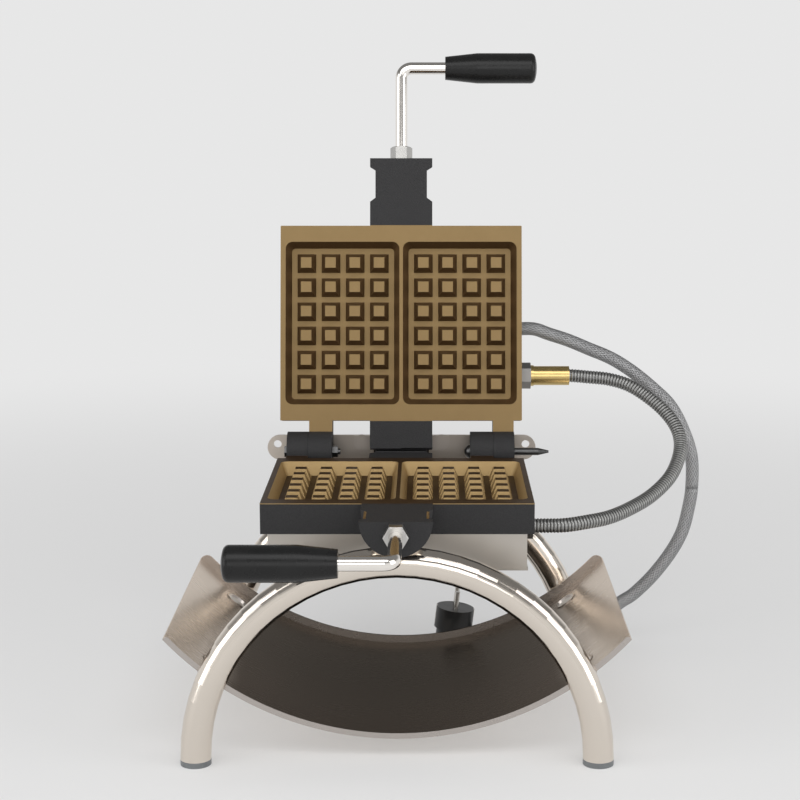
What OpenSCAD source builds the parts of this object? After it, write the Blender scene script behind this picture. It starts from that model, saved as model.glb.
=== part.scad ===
// Double cast plate waffle iron, turning in two saddles on a stand of bent tube.
// Millimetres. X runs to the right, Y to the back and Z up from the floor.
// The iron stands as in use: lower half level, lid opened to its stop.

/* [Plates] */
// Width of each cast plate
plate_w = 240; // [236:1:250]
// Depth of each cast plate
plate_d = 194; // [190:1:200]
// Thickness of each cast plate
plate_t = 27.5; // [24:0.5:30]
// Radius of the plate's upright corners
plate_corner_r = 0.8; // [0.5:0.1:4]
// Gap between the two closed plates
face_gap = 0.3; // [0.2:0.05:0.6]

/* [Moulds] */
// Width of a mould at the parting face
mould_w = 113.2; // [110:0.2:114]
// Length of a mould at the parting face
mould_d = 162; // [156:1:166]
// Depth of a mould
mould_depth = 13; // [10:0.5:15]
// Distance that the mould's walls lean in from face to floor
mould_draft = 5.5; // [3:0.5:6]
// Radius of the mould's corners at the parting face
mould_corner_r = 7; // [4:0.5:10]
// Wall between the two moulds of a plate
mould_wall = 3.5; // [3:0.1:5]
// Pins across a mould
pin_columns = 4; // [3:1:4]
// Pins along a mould
pin_rows = 6; // [4:1:6]
// Distance between pin centres
pin_pitch = 24.2; // [22:0.1:24.6]
// Side of a pin at the mould's floor
pin_base = 18.7; // [16:0.1:19.5]
// Side of a pin at its top
pin_top = 10.5; // [8:0.1:13]
// Height of a pin above the mould's floor
pin_h = 11; // [8:0.5:12]

/* [Trunnions] */
// Radius of the journal that turns in a saddle
journal_r = 25.65; // [24:0.05:28]
// Radius of the collar and of the end flange
collar_r = 31; // [29.5:0.5:33]
// Length of the collar beside the plate
collar_len = 24; // [20:0.5:25]
// Length of the taper from collar to journal
collar_taper = 4; // [2:0.5:4.5]
// Length of the front journal
front_journal_len = 27.4; // [27:0.1:32]
// Length of the rear journal
rear_journal_len = 50; // [50:0.5:54]
// Length of the taper from journal to end flange
flange_taper = 3.5; // [2:0.5:5]
// Length of the end flange
flange_len = 8.6; // [6:0.2:12]
// Length of the lid's rear stub
stub_len = 29; // [26:0.5:29.5]
// Depth cut off the rear journal's top for the opened stub
stub_relief = 5; // [4.8:0.1:7]

/* [Hinge] */
// Distance from the plate's back edge to the hinge axis
hinge_back = 30.8; // [30.8:0.1:32]
// Angle of the open lid
lid_open = 101.5; // [95:0.5:101.5]
// Radius of the hinge knuckles
knuckle_r = 19.8; // [17:0.2:20.4]
// Outer end of the left knuckle pair
left_knuckle_x = 112.3; // [110:0.1:114]
// Width of the lower half's left knuckle
left_iron_knuckle_w = 20.8; // [18:0.1:22]
// Width of the lid's left knuckle
left_lid_knuckle_w = 23.1; // [20:0.1:24]
// Inner end of the right knuckle pair
right_knuckle_x = 68.4; // [66:0.1:70]
// Width of the lower half's right knuckle
right_iron_knuckle_w = 22.5; // [20:0.1:24]
// Width of the lid's right knuckle
right_lid_knuckle_w = 20.7; // [18:0.1:22]
// Play between two knuckles
knuckle_gap = 0.2; // [0.1:0.05:0.5]
// Diameter of the left hinge bolt
hinge_bolt_d = 6; // [5:0.5:8]
// Diameter of the right hinge pin
hinge_pin_d = 7.3; // [6:0.1:9]

/* [Stand] */
// Length of an arch's straight leg above its foot cap
leg_straight = 0.9; // [0.5:0.1:6]
// Radius of each arch at the tube's centre line
arch_r = 174.9; // [172:0.1:178]
// Outer diameter of the arch tube
tube_d = 26.9; // [24:0.1:27.4]
// Wall of the arch tube
tube_wall = 1.5; // [1.2:0.1:2.5]
// Distance from the plate's middle forward to the front arch
front_arch_back = 138.5; // [138:0.1:139]
// Distance from the plate's middle back to the rear arch
rear_arch_back = 161.5; // [161:0.1:162]
// Thickness of a foot cap under its leg
foot_h = 5; // [3:0.5:8]
// Thickness of a saddle's strap
saddle_t = 2.2; // [1.8:0.1:3]
// Width of a saddle along the journal
saddle_w = 26; // [22:0.2:26.4]

/* [Stop bar] */
// Height of the bar's arms
bar_h = 25.2; // [22:0.2:28]
// Thickness of the bar
bar_t = 3; // [2:0.2:3.2]
// Height of the bar's top edge above the turning axis
bar_top = 10.2; // [8:0.2:11]
// Half of the bar's whole length
bar_half = 135.4; // [130:0.2:142]
// Distance between the centres of the two end holes
bar_hole_spacing = 250.4; // [244:0.2:252]
// Diameter of the end holes
bar_hole_d = 7.9; // [6:0.1:9]
// Height of the end holes above the turning axis
bar_hole_up = 1; // [-2:0.5:2]
// Half width of the bar's middle body
bar_body_half = 48.3; // [44:0.1:52]
// Thickness of the pads on the bar's front
pad_t = 2; // [1.5:0.1:2.4]

/* [Drip tray] */
// Outer radius of the curved tray
tray_r = 275; // [274:0.5:277]
// Height of the tray's own centre line above the turning axis
tray_axis_up = 70.3; // [70:0.1:71.5]
// Half of the angle that the tray spans
tray_half_angle = 47.8; // [46:0.1:49]
// Thickness of the tray's sheet
tray_t = 2; // [1.5:0.1:2.5]
// Height of the front lip above the sheet
front_lip_h = 3; // [2:0.2:8]
// Height of the rear lip above the sheet
rear_lip_h = 7.4; // [4:0.2:10]
// Diameter of the tray's four holes
tray_hole_d = 21; // [16:0.5:24]
// Distance from a rim to the middle of a tray hole
tray_hole_in = 37; // [34:0.5:44]
// Angle of the tray holes from the middle
tray_hole_angle = 36.8; // [34:0.1:38]

/* [Heater boxes] */
// Width of a heater box
box_w = 228; // [224:1:232]
// Depth of a heater box
box_d = 183; // [180:1:186]
// Height of a heater box
box_h = 34; // [33:0.5:36]
// Thickness of the box's sheet
box_t = 1; // [0.8:0.1:1.5]
// Height of the lip round the box's outer end
box_lip_h = 2; // [1:0.5:3]
// Distance that the lip stands out
box_lip_out = 0.8; // [0.4:0.2:1.2]
// Diameter of the heating element's sheath
element_d = 8; // [6.5:0.1:8.5]
// Thickness of the insulation pad
pad_h = 19.5; // [14:0.5:19.5]

/* [Handles] */
// Diameter of a handle rod
rod_d = 12; // [10:0.5:14]
// Distance from the parting face to the rod's centre line
rod_off = 11; // [10.8:0.1:14]
// Distance from the trunnion's end to the rod's cross run
rod_run_len = 92.3; // [70:0.1:110]
// Centre line radius of the rod's bend
rod_bend_r = 10; // [9:0.5:16]
// Distance from the middle plane to the near end of the grip
grip_start = 44; // [36:1:60]
// Length of a grip
grip_len = 92; // [80:1:110]
// Diameter of a grip
grip_d = 30; // [26:0.5:34]
// Diameter of the grip's near end
grip_neck_d = 23; // [18:0.5:26]
// Length of the grip's taper
grip_taper = 32; // [20:1:40]
// Width across the flats of the handle nut
rod_nut_af = 19; // [17:0.5:21]
// Length of the handle nut
rod_nut_len = 12.5; // [8:0.5:14]

/* [Hose] */
// Outer diameter of the ribbed hose
hose_d = 13.6; // [12:0.1:14]
// Depth of the hose's ribs
rib_depth = 0.8; // [0.4:0.1:1.2]
// Distance between ribs
rib_pitch = 3.1; // [2.6:0.1:4]
// Distance from the lid's back edge to the hose fitting
hose_in = 46.4; // [40:0.2:50]
// Width across the flats of the hose nut
hose_nut_af = 23; // [21:0.5:26]
// Length of the hose nut
hose_nut_len = 17; // [12:0.5:20]
// Diameter of the brass sleeve
sleeve_d = 19.4; // [17:0.1:20]
// Length of the brass sleeve
sleeve_len = 39; // [30:0.5:45]

/* [Power cord] */
// Diameter of the braided cord
cord_d = 13.5; // [10:0.5:14]
// Distance from the lid's back edge to the cord gland
cord_in = 94; // [86:0.5:96]
// Diameter of the plug's face
plug_d = 39.5; // [38:0.5:42]
// Height of the plug's face above the floor
plug_h = 44.2; // [43:0.1:52]
// Lean of the standing plug to the right
plug_lean = 7; // [3:0.5:9]
// Distance between the plug's two pins
plug_pin_spacing = 19; // [17:0.5:20]
// Diameter of a plug pin
plug_pin_d = 4.8; // [4:0.1:5]
// Length of a plug pin
plug_pin_len = 19; // [15:0.5:20]

/* [Hidden] */
$fn = 64;

// Fits and small sizes that several pieces share
overrun = 1;
run_fit = 0.05;
seat_gap = 0.1;
soft_gap = 0.3;
root = 5;
reach_all = plate_w + plate_d;
sliver = 0.01;
hull_facets = 32;

// Places that follow from the plates and the trunnions
plate_front = -plate_d / 2;
plate_back = plate_d / 2;
hinge_y = plate_back + hinge_back;
hinge_z = face_gap / 2;
front_end = plate_front - collar_len - collar_taper - front_journal_len - flange_taper - flange_len;
rear_journal_start = plate_back + collar_len + collar_taper;
rear_journal_end = rear_journal_start + rear_journal_len;
relief_start = hinge_y + collar_taper;
// The opened stub leans on the front edge of the journal's upper half
stop_y = hinge_y + seat_gap
    + (collar_r + face_gap - hinge_z - (journal_r - hinge_z) * cos(lid_open)) / sin(lid_open);

// Saddles, arches and tray, from the turning axis down
saddle_r = journal_r + 2 * run_fit;
saddle_out_r = saddle_r + saddle_t;
crown_drop = saddle_out_r + tube_d / 2;
leg_h = foot_h + leg_straight;
axis_h = leg_h + arch_r + crown_drop;
tube_r = tube_d / 2;
tube_bore_r = tube_r - tube_wall;
spigot_h = 10;
saddle_foot = 18;
saddle_foot_drop = 5;
saddle_foot_rise = 1.5;
bar_lead = 0.2;
bar_front = rear_arch_back - bar_lead;
bar_hole_half = bar_hole_spacing / 2;
notch_gap = 0.35;
pad_drop = 15.2;
pad_corner_r = 8;
tray_front = tube_r - front_arch_back;
tray_back = rear_arch_back - tube_r;
tray_axis_h = axis_h + tray_axis_up;
tray_rim_h = 0.8;
tray_rim_w = 1.6;

// Fastening of the tray, under it and against the tubes
bracket_w = 16;
bracket_out = 6;
bracket_t = 2.5;
bracket_leg = 22;
bracket_below = 15.6;
tray_screw_r = 3;
tray_screw_len = 14;
tray_screw_head_r = 5.5;
tray_screw_head_h = 3.4;
rivet_nut_r = 4.4;
rivet_nut_len = 13;
// The fastenings lie where a circle below the tray crosses the arch's centre line
fastening_z = (pow(arch_r, 2) - pow(tray_r + bracket_below, 2) + pow(tray_axis_h, 2) - pow(leg_h, 2))
    / 2 / (tray_axis_h - leg_h);
fastening_x = sqrt(pow(arch_r, 2) - pow(fastening_z - leg_h, 2));

// Inside a heater box, measured from the back of the plate
post_in_x = 19;
post_in_y = 16.5;
post_x = box_w / 2 - post_in_x;
post_y = box_d / 2 - post_in_y;
post_r = 6;
box_screw_r = 2.5;
box_screw_len = 16;
box_screw_head_r = 4.75;
box_screw_head_h = 2.7;
fitting_depth = box_h / 2;
element_in_y = 11.5;
element_in_left = 24;
element_in_right = 54;
element_in_end = 30;
element_pin_r = 2;
element_pin_len = 12;
element_pitch = (box_d / 2 - element_in_y) / 2;
element_left = box_w / 2 - element_in_left;
element_right = box_w / 2 - element_in_right;
element_end = box_w / 2 - element_in_end;
clamp_w = 16;
clamp_t = 2;
clamp_past = 15;
clamp_half = 1.5 * element_pitch + clamp_past;
clamp_from_end = 30;
clamp_places = [clamp_from_end - element_left, element_right - clamp_from_end];
clamp_screw_y = element_pitch;
clamp_post_r = 5.5;
clamp_screw_r = 2;
clamp_screw_len = 10;
clamp_screw_head_r = 3.8;
clamp_screw_head_h = 2.8;
pad_clear_x = 1;
pad_clear_y = 1.5;
block_clear = 8;
block_in = 34;
block_x = box_w / 2 - block_in;
pad_left = box_w / 2 - box_t - pad_clear_x;
pad_right = block_x - block_clear;
pad_half_d = box_d / 2 - box_t - pad_clear_y;
block_w = 24;
block_d = 50;
block_h = 15;
terminal_pitch = 15;
terminal_r = 4;
terminal_bore_r = 2;
thermostat_in = 28;
thermostat_share = 1.1;
thermostat_x = box_w / 2 - thermostat_in;
thermostat_y = -thermostat_share * element_pitch;
thermostat_r = 8;
thermostat_h = 10;

// Hinge bolt, nut and pin
bolt_head_af = 10;
bolt_head_h = 3.2;
bolt_nut_h = 5.4;
bolt_tail = 2.3;
pin_head_r = 7;
pin_head_h = 5.7;
pin_run = 24.1;
pin_tip = 10.4;
pin_tip_r = 1.2;

// Handles
rod_in = 25;
grip_bore_len = 70;
grip_end_r = 5;
grip_dome_r = 40;
grip_arc_steps = 6;

// Hose and cord fittings
fitting_bore_r = 8;
nipple_len = 6;
nipple_bore_r = 4.5;
sleeve_flange_r = 10.6;
sleeve_flange_t = 3;
sleeve_hold = 20;
gland_af = 22;
gland_len = 10;
gland_hold = 6;
cord_gland_len = 7;
cord_gland_hold = 4;
hose_bore_r = 4.6;
bore_ring_every = 6;
route_steps = 8;
hose_sides = 8;
cord_sides = 10;
cord_ring = 28;

// The plug stands on its back beside the rear arch
plug_x = 50;
plug_y = 192;
plug_back_r = 17;
plug_back_h = 22;
plug_cord_h = 14;
plug_neck_x = 78;
plug_neck_r = 8.5;
relief_x = 108;
relief_r = 7.4;
clip_w = 6;
clip_t = 1;
clip_h = 20;

// Hose and cord routes as places right of the middle, behind the plate's middle and above
// the floor
hose_route = [
    [190, 186, 287.7], [211, 184, 285.7], [232, 179, 279.7], [252, 170, 267.7], [267, 160, 254.7],
    [276, 148, 241.7], [278, 134, 228.7], [273, 115, 215.7], [262, 94, 202.7], [242, 70, 190.7],
    [219, 46, 183.7], [197, 27, 179.7], [175, 13, 178.7], [155, 5, 177.7]];
cord_route = [
    [150, 199, 330.2], [170, 203, 323.2], [192, 206, 313.7], [215, 208, 303.7], [237, 210, 289.7],
    [259, 212, 271.7], [278, 213, 252.7], [292, 214, 226.7], [301, 214, 198.7], [302, 214, 166.7],
    [299, 214, 143.7], [293, 213, 119.7], [281, 212, 96.7], [263, 211, 72.7], [243, 210, 52.7],
    [229, 208, 44], [205, 203, 27], [178, 198, 17], [150, 193, 14]];

// The whole stands over the middle of its own outline
lid_top_y = hinge_y - (hinge_y + box_d / 2 + box_lip_out) * cos(lid_open)
    + (plate_t + box_h + hinge_z) * sin(lid_open);
grip_front_y = front_end - rod_run_len - grip_d / 2;
middle_y = -(lid_top_y + grip_front_y) / 2;

// Places a piece whose own middle is the plates' middle, at floor height
module on_floor() translate([0, middle_y, 0]) children();

// Places a piece drawn about the turning axis
module on_axis() translate([0, middle_y, axis_h]) children();

// Turns a piece of the lid from closed to open about the hinge axis
module opened() {
    on_axis()
        translate([0, hinge_y, hinge_z])
            rotate([-lid_open, 0, 0])
                translate([0, -hinge_y, -hinge_z])
                    children();
}

// Turns a piece drawn for the lower half over, onto the lid's side of the parting face
module as_lid() translate([0, 0, face_gap]) mirror([0, 0, 1]) children();

// Rod from one place along an axis: 0 is X, 1 is Y and 2 is Z
module rod(r, start, end, axis) {
    turn = [[0, 90, 0], [-90, 0, 0], [0, 0, 0]];
    low = min(start, end);
    move = [axis == 0 ? low : 0, axis == 1 ? low : 0, axis == 2 ? low : 0];
    translate(move) rotate(turn[axis]) cylinder(h = abs(end - start), r = r);
}

// Hexagon prism along an axis, with two flats that face up and down where it lies
module hex_rod(flats, start, end, axis) {
    turn = [[0, 90, 0], [-90, 0, 0], [0, 0, 0]];
    spin = axis == 0 ? 90 : 0;
    move = [axis == 0 ? start : 0, axis == 1 ? start : 0, axis == 2 ? start : 0];
    translate(move)
        rotate(turn[axis])
            rotate([0, 0, spin])
                cylinder(h = end - start, r = flats / 2 / cos(30), $fn = 6);
}

// Flat outline with round corners
module rounded_outline(w, d, r) {
    square([w - 2 * r, d], center = true);
    square([w, d - 2 * r], center = true);
    for (x = [-1, 1])
        for (y = [-1, 1])
            translate([x * (w / 2 - r), y * (d / 2 - r)])
                circle(r);
}

// Half space below or above the parting face
module below_face() translate([-reach_all, -reach_all, -2 * reach_all]) cube(2 * reach_all);

// One mould as the space that is cut from a plate, its pins left standing
module mould_space() {
    slope = (pin_base - pin_top) / 2 / pin_h;
    difference() {
        hull() {
            translate([0, 0, -mould_depth])
                linear_extrude(sliver)
                    rounded_outline(mould_w - 2 * mould_draft, mould_d - 2 * mould_draft,
                        mould_corner_r / 2, $fn = hull_facets);
            linear_extrude(overrun)
                rounded_outline(mould_w, mould_d, mould_corner_r, $fn = hull_facets);
        }
        for (i = [0 : pin_columns - 1])
            for (j = [0 : pin_rows - 1])
                translate([
                    (i - (pin_columns - 1) / 2) * pin_pitch,
                    (j - (pin_rows - 1) / 2) * pin_pitch,
                    -mould_depth - overrun])
                    rotate([0, 0, 45])
                        cylinder(
                            h = pin_h + overrun,
                            r1 = (pin_base / 2 + slope * overrun) * sqrt(2),
                            r2 = pin_top / 2 * sqrt(2),
                            $fn = 4);
    }
}

// Half trunnion that stands out from the front of a plate
module front_trunnion() {
    start = -plate_front - root;
    journal = -plate_front + collar_len + collar_taper;
    intersection() {
        rotate([90, 0, 0])
            rotate_extrude()
                polygon([
                    [0, start], [collar_r, start], [collar_r, journal - collar_taper],
                    [journal_r, journal], [journal_r, journal + front_journal_len],
                    [collar_r, journal + front_journal_len + flange_taper],
                    [collar_r, -front_end], [0, -front_end]]);
        below_face();
    }
}

// Rear trunnion of the lower half, its journal whole only behind the opened stub
module rear_trunnion() {
    start = plate_back - root;
    end = rear_journal_end + flange_taper + flange_len;
    difference() {
        union() {
            intersection() {
                rotate([-90, 0, 0])
                    rotate_extrude()
                        polygon([
                            [0, start], [collar_r, start], [collar_r, plate_back + collar_len],
                            [journal_r, rear_journal_start], [journal_r, rear_journal_end],
                            [collar_r, rear_journal_end + flange_taper],
                            [collar_r, end], [0, end]]);
                below_face();
            }
            rod(journal_r, stop_y, rear_journal_end, 1);
        }
        translate([-collar_r, relief_start, -stub_relief])
            cube([2 * collar_r, stop_y - relief_start, stub_relief + overrun]);
    }
}

// The lid's rear stub, a plain half round
module rear_stub() {
    intersection() {
        rod(collar_r, plate_back - root, plate_back + stub_len, 1);
        below_face();
    }
}

// Hinge knuckle with its lug, from one place along X to another
module knuckle(x0, x1) {
    translate([0, hinge_y, hinge_z]) rod(knuckle_r, x0, x1, 0);
    translate([x0, plate_back - root, hinge_z - knuckle_r])
        cube([x1 - x0, hinge_back + root, knuckle_r - hinge_z]);
}

// Places of the four box screws
module at_posts() {
    for (x = [-post_x, post_x])
        for (y = [-post_y, post_y])
            translate([x, y, -plate_t])
                children();
}

// Places of the clamp screws
module at_clamp_screws() {
    for (x = clamp_places)
        for (y = [-clamp_screw_y, clamp_screw_y])
            translate([x, y, -plate_t])
                children();
}

// What both castings share: slab, moulds, front trunnion, posts and their holes
module casting_body() {
    translate([0, 0, -plate_t])
        linear_extrude(plate_t)
            rounded_outline(plate_w, plate_d, plate_corner_r);
    front_trunnion();
    at_posts() rod(post_r, -box_h + box_t, root, 2);
    at_clamp_screws() rod(clamp_post_r, -element_d - 2 * seat_gap, root, 2);
}

module casting_cuts() {
    for (x = [-1, 1])
        translate([x * (mould_wall + mould_w) / 2, 0, 0])
            mould_space();
    at_posts() rod(box_screw_r + run_fit, -box_h, box_screw_len - box_h + overrun, 2);
    at_clamp_screws() rod(clamp_screw_r + run_fit, -box_h, clamp_screw_len - element_d, 2);
    translate([0, 0, -rod_off]) rod(rod_d / 2 + run_fit, front_end - overrun, front_end + rod_in, 1);
}

// Bores of the hinge bolt and of the hinge pin
module hinge_bores() {
    translate([0, hinge_y, hinge_z]) {
        rod(hinge_bolt_d / 2 + run_fit, -left_knuckle_x - overrun, 0, 0);
        rod(hinge_pin_d / 2 + run_fit, 0, left_knuckle_x + root, 0);
    }
}

left_split_x = left_iron_knuckle_w - left_knuckle_x;
right_split_x = right_knuckle_x + right_iron_knuckle_w;

module lower_plate() {
    color([0.27, 0.26, 0.25])
        on_axis()
            difference() {
                union() {
                    casting_body();
                    rear_trunnion();
                    knuckle(-left_knuckle_x, left_split_x);
                    knuckle(right_knuckle_x, right_split_x);
                }
                casting_cuts();
                hinge_bores();
            }
}

module lid_plate() {
    color([0.27, 0.26, 0.25])
        opened()
            as_lid()
                difference() {
                    union() {
                        casting_body();
                        rear_stub();
                        knuckle(
                            left_split_x + knuckle_gap,
                            left_split_x + knuckle_gap + left_lid_knuckle_w);
                        knuckle(
                            right_split_x + knuckle_gap,
                            right_split_x + knuckle_gap + right_lid_knuckle_w);
                    }
                    casting_cuts();
                    hinge_bores();
                }
}

// Heater box, open towards its plate, with a hole in its right wall for each fitting
module box_shell(fittings) {
    translate([0, 0, -plate_t - box_h])
        difference() {
            union() {
                translate([-box_w / 2, -box_d / 2, 0]) cube([box_w, box_d, box_h]);
                translate([-box_w / 2 - box_lip_out, -box_d / 2 - box_lip_out, 0])
                    cube([box_w + 2 * box_lip_out, box_d + 2 * box_lip_out, box_lip_h]);
            }
            translate([box_t - box_w / 2, box_t - box_d / 2, box_t])
                cube([box_w - 2 * box_t, box_d - 2 * box_t, box_h]);
            for (x = [-post_x, post_x])
                for (y = [-post_y, post_y])
                    translate([x, y, 0])
                        rod(box_screw_r + seat_gap, -overrun, box_t + overrun, 2);
            for (y = fittings)
                translate([0, y, box_h - fitting_depth])
                    rod(fitting_bore_r + run_fit, box_w / 2 - box_t - overrun, box_w / 2 + overrun, 0);
        }
}

// Sheathed heating element, four runs across the back of a plate
module element() {
    r = element_d / 2;
    bend = element_pitch / 2;
    outer = 3 * bend;
    translate([0, 0, -plate_t - r - seat_gap]) {
        for (y = [-outer, outer]) {
            translate([0, y, 0]) rod(r, -element_left + bend, element_end, 0);
            translate([0, y, 0]) rod(element_pin_r, element_end - overrun, element_end + element_pin_len, 0);
        }
        for (y = [-bend, bend])
            translate([0, y, 0]) rod(r, -element_left + bend, element_right - bend, 0);
        for (y = [-1, 1])
            translate([-element_left + bend, 2 * y * bend, 0])
                rotate([0, 0, 90])
                    rotate_extrude(angle = 180)
                        translate([bend, 0])
                            circle(r);
        translate([element_right - bend, 0, 0])
            rotate([0, 0, -90])
                rotate_extrude(angle = 180)
                    translate([bend, 0])
                        circle(r);
    }
}

// Two flat bars that press the element onto the plate
module clamps() {
    top = -plate_t - element_d - 2 * seat_gap;
    for (x = clamp_places)
        difference() {
            translate([x - clamp_w / 2, -clamp_half, top - clamp_t])
                cube([clamp_w, 2 * clamp_half, clamp_t]);
            for (y = [-clamp_screw_y, clamp_screw_y])
                translate([x, y, 0])
                    rod(clamp_screw_r + seat_gap, top - clamp_t - overrun, top + overrun, 2);
        }
}

module clamp_screws() {
    seat = -element_d - 2 * seat_gap - clamp_t;
    at_clamp_screws() {
        rod(clamp_screw_head_r, seat - clamp_screw_head_h, seat, 2);
        rod(clamp_screw_r, seat, seat + clamp_screw_len, 2);
    }
}

// Soft insulation between the clamps and the box, holed for the posts
module insulation() {
    difference() {
        translate([-pad_left, -pad_half_d, -plate_t - box_h + box_t])
            cube([pad_left + pad_right, 2 * pad_half_d, pad_h]);
        for (y = [-post_y, post_y])
            translate([-post_x, y, 0])
                rod(post_r + soft_gap, -plate_t - box_h, 0, 2);
    }
}

module at_terminals() {
    for (i = [-1, 0, 1])
        translate([0, i * terminal_pitch, -plate_t - box_h + box_t + block_h / 2])
            children();
}

module terminal_block() {
    difference() {
        translate([block_x, -block_d / 2, -plate_t - box_h + box_t])
            cube([block_w, block_d, block_h]);
        at_terminals() rod(terminal_r + run_fit, block_x - overrun, block_x + block_w + overrun, 0);
    }
}

module terminals() {
    at_terminals()
        difference() {
            rod(terminal_r, block_x, block_x + block_w, 0);
            rod(terminal_bore_r, block_x - overrun, block_x + block_w + overrun, 0);
        }
}

module box_screws() {
    at_posts() {
        rod(box_screw_head_r, -box_h - box_screw_head_h, -box_h, 2);
        rod(box_screw_r, -box_h, box_screw_len - box_h, 2);
    }
}

lid_fittings = [plate_back - hose_in, plate_back - cord_in];
lower_fitting_y = 3;

module lower_box() color([0.75, 0.74, 0.72]) on_axis() box_shell([lower_fitting_y]);
module lower_element() color([0.45, 0.43, 0.42]) on_axis() element();
module lower_clamps() color([0.7, 0.7, 0.7]) on_axis() clamps();
module lower_clamp_screws() color([0.7, 0.7, 0.7]) on_axis() clamp_screws();
module lower_insulation() color([0.9, 0.88, 0.8]) on_axis() insulation();
module lower_terminal_block() color([0.92, 0.9, 0.86]) on_axis() terminal_block();
module lower_terminals() color([0.8, 0.65, 0.3]) on_axis() terminals();
module lower_box_screws() color([0.7, 0.7, 0.7]) on_axis() box_screws();
module lid_box() color([0.75, 0.74, 0.72]) opened() as_lid() box_shell(lid_fittings);
module lid_element() color([0.45, 0.43, 0.42]) opened() as_lid() element();
module lid_clamps() color([0.7, 0.7, 0.7]) opened() as_lid() clamps();
module lid_clamp_screws() color([0.7, 0.7, 0.7]) opened() as_lid() clamp_screws();
module lid_insulation() color([0.9, 0.88, 0.8]) opened() as_lid() insulation();
module lid_terminal_block() color([0.92, 0.9, 0.86]) opened() as_lid() terminal_block();
module lid_terminals() color([0.8, 0.65, 0.3]) opened() as_lid() terminals();
module lid_box_screws() color([0.7, 0.7, 0.7]) opened() as_lid() box_screws();

// Bimetal disc thermostat against the back of the lid's plate
module thermostat() {
    color([0.85, 0.85, 0.83])
        opened()
            as_lid()
                translate([thermostat_x, thermostat_y, -plate_t - seat_gap])
                    rod(thermostat_r, -thermostat_h, 0, 2);
}

// Hinge bolt through the left knuckles, its head outside
module hinge_bolt() {
    head = -left_knuckle_x;
    tail = left_split_x + 2 * knuckle_gap + left_lid_knuckle_w + bolt_nut_h + bolt_tail;
    color([0.72, 0.71, 0.7])
        on_axis()
            translate([0, hinge_y, hinge_z]) {
                hex_rod(bolt_head_af, head - bolt_head_h, head, 0);
                rod(hinge_bolt_d / 2, head, tail, 0);
            }
}

module hinge_nut() {
    start = left_split_x + 2 * knuckle_gap + left_lid_knuckle_w - seat_gap;
    color([0.72, 0.71, 0.7])
        on_axis()
            translate([0, hinge_y, hinge_z])
                difference() {
                    hex_rod(bolt_head_af, start, start + bolt_nut_h, 0);
                    rod(hinge_bolt_d / 2 + run_fit, start - overrun, start + bolt_nut_h + overrun, 0);
                }
}

// Hinge pin through the right knuckles, domed at its head and pointed past the lid's knuckle
module hinge_pin() {
    shank_end = right_split_x + knuckle_gap + right_lid_knuckle_w + pin_run;
    dome_r = (pow(pin_head_r, 2) + pow(pin_head_h, 2)) / 2 / pin_head_h;
    color([0.72, 0.71, 0.7])
        on_axis()
            translate([0, hinge_y, hinge_z]) {
                rod(hinge_pin_d / 2, right_knuckle_x, shank_end, 0);
                translate([shank_end, 0, 0])
                    rotate([0, 90, 0])
                        cylinder(h = pin_tip, r1 = hinge_pin_d / 2, r2 = pin_tip_r);
                intersection() {
                    translate([right_knuckle_x - pin_head_h + dome_r, 0, 0]) sphere(dome_r);
                    rod(pin_head_r + overrun, right_knuckle_x - pin_head_h - overrun, right_knuckle_x, 0);
                }
            }
}

// Handle rod, screwed into the trunnion and bent to the left
module handle_rod() {
    cross_y = front_end - rod_run_len;
    r = rod_d / 2;
    translate([0, 0, -rod_off]) {
        rod(r, cross_y + rod_bend_r, front_end + rod_in, 1);
        translate([-rod_bend_r, cross_y + rod_bend_r, 0])
            rotate([0, 0, -90])
                rotate_extrude(angle = 90)
                    translate([rod_bend_r, 0])
                        circle(r);
        translate([0, cross_y, 0]) rod(r, -rod_bend_r, -grip_start - grip_bore_len, 0);
    }
}

// Nut with its outer corners turned off
module handle_nut() {
    half = rod_nut_af / 2;
    translate([0, 0, -rod_off])
        difference() {
            intersection() {
                hex_rod(rod_nut_af, front_end - rod_nut_len, front_end, 1);
                translate([0, front_end - rod_nut_len, 0])
                    rotate([-90, 0, 0])
                        cylinder(h = rod_nut_len, r1 = half, r2 = half + rod_nut_len / tan(30));
            }
            rod(rod_d / 2 + run_fit, front_end - rod_nut_len - overrun, front_end + overrun, 1);
        }
}

// Grip, tapered towards the rod, its far end slightly domed inside a round edge
module grip() {
    r = grip_d / 2;
    edge_in = r - grip_end_r;
    dome_in = grip_dome_r - grip_end_r;
    edge_z = grip_len - grip_dome_r + sqrt(pow(dome_in, 2) - pow(edge_in, 2));
    turn = asin(edge_in / dome_in);
    steps = grip_arc_steps;
    translate([-grip_start, front_end - rod_run_len, -rod_off])
        rotate([0, -90, 0])
            difference() {
                rotate_extrude()
                    polygon(concat(
                        [[0, 0], [grip_neck_d / 2, 0], [r, grip_taper]],
                        [for (i = [0 : steps])
                            let (a = i / steps * (90 - turn))
                            [edge_in + grip_end_r * cos(a), edge_z + grip_end_r * sin(a)]],
                        [for (i = [1 : steps])
                            let (a = (1 - i / steps) * turn)
                            [grip_dome_r * sin(a), grip_len - grip_dome_r + grip_dome_r * cos(a)]]));
                translate([0, 0, -overrun])
                    cylinder(h = grip_bore_len + 2 * overrun, r = rod_d / 2 + run_fit);
            }
}

// The lid's handle is the lower one turned over, so its grip points the other way
module lid_handle_side() opened() as_lid() mirror([1, 0, 0]) children();

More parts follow.
